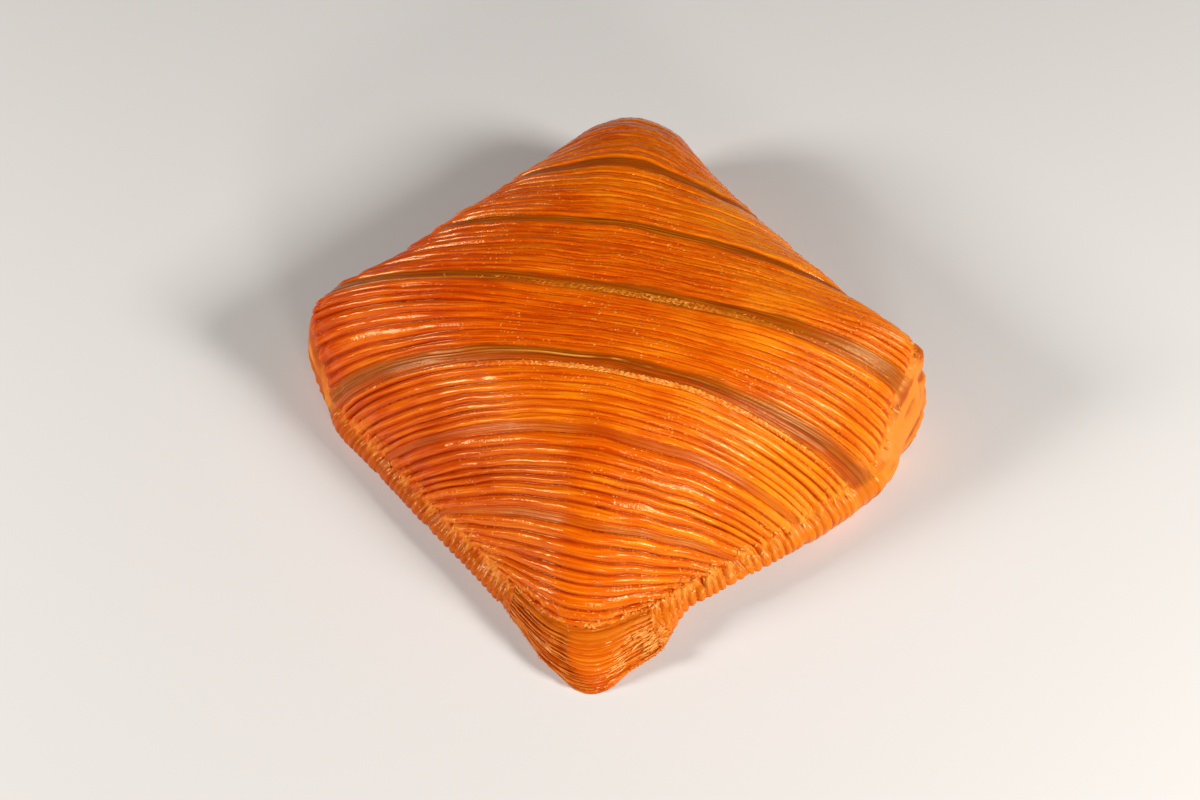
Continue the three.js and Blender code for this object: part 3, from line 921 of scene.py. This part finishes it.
# ---- Crust colours ----
RED_BROWN = srgb(196, 66, 2)
ORANGE = srgb(222, 96, 3)
YELLOW_ORANGE = srgb(244, 138, 16)
# Painted shade: the ridges' flanks, the valley floors and the insides of torn holes.
FLANK_SHADE = srgb(190, 58, 2)
VALLEY_SHADE = srgb(140, 38, 2)
HOLE_SHADE = srgb(98, 24, 2)
# Painted highlight on the ridges' shoulders and crowns.
PAINTED_GLINT = srgb(246, 144, 30)
BAND_OLIVE = srgb(164, 80, 5)
BAND_RED = srgb(176, 62, 3)
BAND_DARK = srgb(112, 44, 3)
BAND_LIGHT = srgb(208, 118, 20)
BROW_OLIVE = srgb(196, 106, 14)
CRUMB = srgb(208, 136, 30)
PALE = srgb(250, 172, 72)
CREASE_PALE = srgb(236, 148, 48)
# The left wall's darker colour is painted shade.
WALL_SHADED_LEFT = srgb(176, 78, 6)
WALL_RIGHT = srgb(222, 116, 16)
CUT_PALE = srgb(224, 130, 40)
# The orange of the left cut face, and painted shade in the cut faces' fold creases.
CUT_ORANGE_AND_FOLD_SHADE = srgb(178, 74, 10)
# The left layers' darker colour is painted shade, and so is the dark of the gaps between layers.
LAYER_SHADED_LEFT = srgb(170, 66, 4)
LAYER_RIGHT = srgb(226, 114, 16)
LAYER_LINES_AND_GAP_SHADE = srgb(136, 44, 3)
LAYER_PALE = srgb(244, 156, 60)
UNDER_BROWN = srgb(176, 92, 26)
FLAKE_BROWN = srgb(186, 76, 8)
FLAKE_ORANGE = srgb(228, 120, 24)
FLAKE_PALE = srgb(250, 178, 90)


def dough_colour(n):
    """Browning in patches, along single ridges and in fine fibres; redder and darker towards the left as
    painted shade, yellower towards the right as painted light.
    """
    patches = n.centred(n.noise(n.place(), 42))
    single = n.centred(n.noise(n.vector(n.times("along", 0.05), n.times("strand", 3.7), 0), 1, 2))
    fibres = n.centred(n.ramp(n.streaks(0.1, 3.2, 3, 3), 0.32, 0.68))
    # The term in u paints shade on the left and light on the right.
    tone = n.plus(n.times("u", 0.006), "tone", 0.5, n.times(patches, 1.2), n.times(single, 0.9),
                  n.times(fibres, 0.6))
    body = n.colour(n.ramp(tone, 0.05, 0.5), RED_BROWN, ORANGE)
    return n.colour(n.ramp(tone, 0.5, 1.05), body, YELLOW_ORANGE)


def painted_valley_shade(n, body):
    """Painted shade in the valleys: red flanks, darker floors where they are deep, and short rows of torn
    holes here and there whose dark is painted shade.
    """
    body = n.colour(n.ramp("valley", 0.1, 0.75, 0, 0.7), body, FLANK_SHADE)
    patchy = n.ramp(n.streaks(0.1, 0.5, 11), 0.32, 0.6, 0.25, 1)
    floor = n.times(n.ramp("valley", 0.55, 1), patchy, n.ramp("depth", 0.3, 0.9, 0.4, 0.9),
                    n.ramp("u", 0, 45, 1, 0.45))
    body = n.colour(floor, body, VALLEY_SHADE)
    where = n.most(n.ramp(n.streaks(0.05, 0.45, 15, 1), 0.56, 0.64), "frayed")
    dashes = n.times(n.ramp("valley", 0.45, 0.9), where, n.ramp(n.streaks(0.7, 0.5, 13, 3), 0.48, 0.6))
    return n.colour(n.times(dashes, n.ramp("u", 5, 40, 0.75, 0.35)), body, HOLE_SHADE)


def painted_glints(n, body):
    """Painted highlights: thin broken pale lines on the ridges' shoulders and crowns, most of them far and
    right.
    """
    place = n.plus(n.times("u", 0.0018), n.times("across", 0.0012))
    dashes = n.ramp(n.plus(n.streaks(1, 0.7, 31, 4), place), 0.52, 0.62)
    fibres = n.ramp(n.plus(n.streaks(0.3, 3.4, 33, 4), place), 0.57, 0.68)
    shoulder = n.times(n.peak("valley", 0.4, 0.34), dashes)
    crown = n.times(n.ramp("valley", 0.1, 0.3, 1, 0), fibres)
    return n.colour(n.times(n.most(shoulder, n.times(crown, 0.6)), 0.6), body, PAINTED_GLINT)


def band_colours(n, body):
    """Smooth olive-brown dough, striped lengthwise; the third band crumbly, the fourth with a thread."""
    off, number = n.field("band_off"), n.field("band_number")
    crumbly, threaded = n.peak(number, CRUMBLY_BAND, 0.6), n.peak(number, THREAD_BAND, 0.6)
    near = n.ramp(number, THREAD_BAND + 0.2, THREAD_BAND + 0.8)
    redness = n.plus(n.streaks(0.04, 3, 7, 4), n.times(threaded, n.ramp(off, 0.1, -0.4), 0.14),
                     n.times(near, 0.12), -0.03)
    colour = n.colour(n.ramp(redness, 0.42, 0.6), BAND_OLIVE, BAND_RED)
    light = n.ramp(n.streaks(0.05, 4.4, 35, 3), 0.5, 0.66)
    colour = n.colour(n.times(light, n.math("SUBTRACT", 0.6, n.times(near, 0.3))), colour, BAND_LIGHT)
    colour = n.colour(n.ramp(n.streaks(0.06, 4, 37, 3), 0.5, 0.64, 0, 0.7), colour, BAND_DARK)
    crumbs = n.times(crumbly, n.ramp(off, 0.1, -0.3), n.ramp(n.streaks(1.1, 2.2, 9, 4), 0.42, 0.58),
                     n.peak("u", 6, 36))
    colour = n.colour(n.times(crumbs, 0.9), colour, CRUMB)
    lines = n.most(n.peak(off, 0.95, 0.2), n.times(n.peak(off, -0.95, 0.16), 0.8),
                   n.times(threaded, n.peak(off, -0.08, 0.18)))
    broken = n.ramp(n.streaks(0.1, 0.5, 5), 0.38, 0.6, 0.1, 0.9)
    colour = n.colour(n.times(lines, broken), colour, BAND_DARK)
    thread = n.times(n.peak(off, 0.16, 0.16), threaded, n.ramp(n.streaks(0.1, 0.2, 39), 0.35, 0.5),
                     n.peak("u", -4, 32))
    colour = n.colour(n.times(thread, 0.85), colour, PALE)
    wander = n.times(n.centred(n.streaks(0.1, 0.6, 41, 3)), 1.1)
    share = n.ramp(n.plus(n.math("ABSOLUTE", off), wander), 0.6, 1.3, 1, 0)
    return n.colour(n.times(share, n.ramp(near, 0, 1, 1, 0.6)), body, colour)


def torn_colours(n, body):
    """Pale torn dough on the creases and the frayed ridge, and paler dough down the sides, darker down the
    left side as painted shade.
    """
    speckle = n.streaks(1.5, 1.7, 17, 4)
    # Darker at the left: painted shade.
    side = n.colour(n.ramp("u", -30, 30), WALL_SHADED_LEFT, WALL_RIGHT)
    body = n.colour(n.times("rope", n.ramp("valley", 0.1, 0.8, 0.75, 0.1)), body, side)
    crease = n.times("crease", n.ramp(n.plus(n.times("torn", 0.35), speckle), 0.4, 0.7))
    body = n.colour(n.times(crease, n.ramp("u", -40, 20, 0.6, 0.9)), body, CREASE_PALE)
    frayed = n.times("frayed", n.ramp(speckle, 0.4, 0.6), n.ramp("valley", 0.2, 0.9, 1, 0))
    return n.colour(n.times(frayed, 0.75), body, PALE)


def nose_colours(n, body):
    """Layers with painted shade in the gaps between them and pale edges, darker at the left as painted shade,
    a smooth middle with a browner tip, an olive hollow on top.
    """
    right = n.ramp("u", -4, 10)
    # Darker at the left: painted shade.
    dough = n.colour(right, LAYER_SHADED_LEFT, LAYER_RIGHT)
    fine = n.streaks(0.1, 3.6, 43, 4)
    dough = n.colour(n.ramp(fine, 0.5, 0.64, 0, 0.8), dough, LAYER_PALE)
    dark = n.times(n.ramp(fine, 0.34, 0.48, 0.75, 0), n.ramp(right, 0, 1, 1, 0.5))
    dough = n.colour(dark, dough, LAYER_LINES_AND_GAP_SHADE)
    # Painted shade in the gaps under each layer's edge.
    gap = n.times(n.ramp("layer_phase", 0, 0.3, 1, 0),
                  n.ramp(n.streaks(0.12, 0.7, 45), 0.3, 0.6, 0.2, 0.9))
    dough = n.colour(gap, dough, LAYER_LINES_AND_GAP_SHADE)
    edge = n.times(n.peak("layer_phase", 0.76, 0.24), n.ramp(n.streaks(0.35, 1, 19, 3), 0.4, 0.56))
    dough = n.colour(n.times(edge, n.plus(n.times(right, 0.3), 0.6)), dough, LAYER_PALE)
    body = n.colour(n.times(n.most("layer", n.times("nose", 0.35)), 0.9), body, dough)
    tip = n.times("middle", n.ramp("wall", 0.5, 0.85))
    body = n.colour(n.times(tip, 0.75), body, RED_BROWN)
    return n.colour(n.times("brow", n.ramp(fine, 0.3, 0.6, 0.75, 0.35)), body, BROW_OLIVE)


def cut_colours(n, body):
    """The cut faces: pale at the right, more orange at the left, darker in the creases of their folds as
    painted shade.
    """
    patches = n.times(n.centred(n.streaks(0.4, 0.4, 47, 5)), 1.6)
    # The fold height paints shade into the creases.
    fold = n.plus("fold", n.times("u", 0.006), patches)
    face = n.colour(n.ramp(fold, -0.3, 1.1), CUT_ORANGE_AND_FOLD_SHADE, CUT_PALE)
    return n.colour(n.times("cut", 0.95), body, face)


def blisters(n):
    """Tiny pale blisters in the glaze, their paleness partly painted highlight sparkle, most of them on the
    far and right parts.
    """
    place = n.place()
    where = n.plus(n.noise(place, 60, 2), n.times("u", 0.0012), n.times("across", 0.0008))
    where = n.times(n.ramp(where, 0.44, 0.6), n.ramp("wall", 0, 0.1, 1, 0), n.ramp("u", -45, -25),
                    n.ramp(n.math("ABSOLUTE", "band_off"), 0.8, 1.4))
    small = n.times(n.ramp(n.spots(place, 640), 0.08, 0.16, 1, 0),
                    n.ramp(n.noise(place, 310, 0), 0.44, 0.5))
    tiny = n.times(n.ramp(n.spots(place, 1100), 0.16, 0.3, 1, 0),
                   n.ramp(n.noise(place, 420, 0), 0.48, 0.54))
    return n.times(n.most(small, tiny), where)


def crust_bump(n, spots):
    """Wrinkles across the ridges, fibres along them and blisters, shallow, so that the glaze stays bright."""
    window = n.ramp(n.noise(n.place(), 90, 2), 0.4, 0.6, 0.25, 1.3)
    wrinkles = n.times(n.centred(n.streaks(1.7, 1.5, 21, 3)), window)
    normal = n.bump(wrinkles, 0.9, 0.0001)
    normal = n.bump(n.streaks(0.12, 2.6, 23), 0.8, 0.00005, normal)
    return n.bump(spots, 0.8, 0.0001, normal)


def crust_material():
    n = Nodes("laminated_crust")
    spots = blisters(n)
    body = painted_glints(n, painted_valley_shade(n, dough_colour(n)))
    body = cut_colours(n, nose_colours(n, torn_colours(n, band_colours(n, body))))
    # Blister dots painted pale, partly as painted highlight.
    body = n.colour(n.times(spots, 0.6), body, PALE)
    dull = n.most("cut", n.times("crease", 0.8), n.times("layer", 0.4), "under", n.times("rope", 0.4),
                  n.ramp(n.math("ABSOLUTE", "band_off"), 0.8, 1.2, 0.45, 0))
    return n.surface({
        "Base Color": n.colour("under", body, UNDER_BROWN),
        "Roughness": n.ramp(dull, 0, 1, 0.18, 0.5),
        "IOR": 1.39,
        "Specular Tint": (1.0, 0.85, 0.4, 1.0),
        "Subsurface Weight": 0.06,
        "Subsurface Radius": (1.0, 0.4, 0.1),
        "Subsurface Scale": 0.001,
        "Normal": crust_bump(n, spots),
    })


def flake_material():
    """Thin dry flakes, pale with browner ends and patches."""
    n = Nodes("crust_flakes")
    tone = n.plus(n.noise(n.place(), 260), n.times("tone", 0.5), n.times("tip", -0.15))
    body = n.colour(n.ramp(tone, 0.32, 0.56), FLAKE_BROWN, FLAKE_ORANGE)
    return n.surface({
        "Base Color": n.colour(n.ramp(tone, 0.6, 0.85), body, FLAKE_PALE),
        "Roughness": n.ramp(tone, 0.4, 0.8, 0.34, 0.6),
        "IOR": 1.4,
        "Specular Tint": (1.0, 0.8, 0.34, 1.0),
        "Normal": n.bump(n.noise(n.place(), 2200), 0.5, 0.0001),
    })


# ---- The studio ----
VIEW_TURN = 45 + 6.2  # degrees
VIEW_ELEVATION = 52
VIEW_DISTANCE = 0.603
VIEW_TARGET = (-2.9, -2.7, 12)
PHOTO_SCALE = 4.7  # pixels a millimetre at the view's distance
PHOTO_WIDTH = 1200
SENSOR = 36
FLOOR_HALF = 3
FLOOR_LEVEL = -0.00002  # just under the piece
LIGHT_DISTANCE = 0.7
LIGHT_TARGET = (0, 0, 15)
LIGHTS = (
    # name, turn from the view and elevation in degrees, size in metres, watts
    ("left_softbox", -80, 28, (0.18, 0.18), 3.9),
    ("right_softbox", 66, 34, (0.2, 0.2), 5),
    ("front_softbox", 14, 20, (0.16, 0.06), 1.3),
)


def away(turn, elevation, distance, target):
    """The point at a distance from a target, in degrees round it and up."""
    turn, elevation = math.radians(turn), math.radians(elevation)
    back = np.array((math.sin(turn) * math.cos(elevation), -math.cos(turn) * math.cos(elevation),
                     math.sin(elevation)))
    return np.asarray(target) + back * distance


def put(obj, turn, elevation, distance, target):
    """Link an object that looks at a target from a turn, an elevation and a distance."""
    bpy.context.scene.collection.objects.link(obj)
    obj.location = away(turn, elevation, distance, target)
    obj.rotation_euler = (Vector(target) - obj.location).to_track_quat("-Z", "Y").to_euler()


def make_camera():
    data = bpy.data.cameras.new("camera")
    data.sensor_width = SENSOR
    data.lens = SENSOR * PHOTO_SCALE * VIEW_DISTANCE / MM / PHOTO_WIDTH
    data.clip_start = 0.01
    camera = bpy.data.objects.new("camera", data)
    put(camera, VIEW_TURN, VIEW_ELEVATION, VIEW_DISTANCE, placed(VIEW_TARGET))
    bpy.context.scene.camera = camera


def make_light(name, turn, elevation, size, power):
    data = bpy.data.lights.new(name, "AREA")
    data.shape = "RECTANGLE"
    data.size, data.size_y = size
    data.energy = power
    data.color = (1.0, 0.97, 0.95)
    put(bpy.data.objects.new(name, data), VIEW_TURN + turn, elevation, LIGHT_DISTANCE, placed(LIGHT_TARGET))


def make_floor():
    sides = ((-1, -1), (1, -1), (1, 1), (-1, 1))
    corners = np.array([(FLOOR_HALF * x, FLOOR_HALF * y, FLOOR_LEVEL) for x, y in sides])
    floor = make_object("studio_floor", corners, [[0, 1, 2, 3]], smooth=False)
    material = Nodes("studio_floor").surface({"Base Color": srgb(222, 220, 216), "Roughness": 0.85})
    floor.data.materials.append(material)


def make_studio():
    make_floor()
    world = bpy.data.worlds.new("studio")
    world.use_nodes = True
    background = world.node_tree.nodes["Background"]
    background.inputs["Color"].default_value = (1.0, 0.98, 0.96, 1.0)
    background.inputs["Strength"].default_value = 0.025
    bpy.context.scene.world = world
    for light in LIGHTS:
        make_light(*light)
    bpy.context.scene.view_settings.view_transform = "Standard"


crust = make_crust()
crust.data.materials.append(crust_material())
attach(crust, "root")
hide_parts("pastry_square")

flakes = make_flakes()
flakes.data.materials.append(flake_material())
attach(flakes, "root")

make_camera()
make_studio()
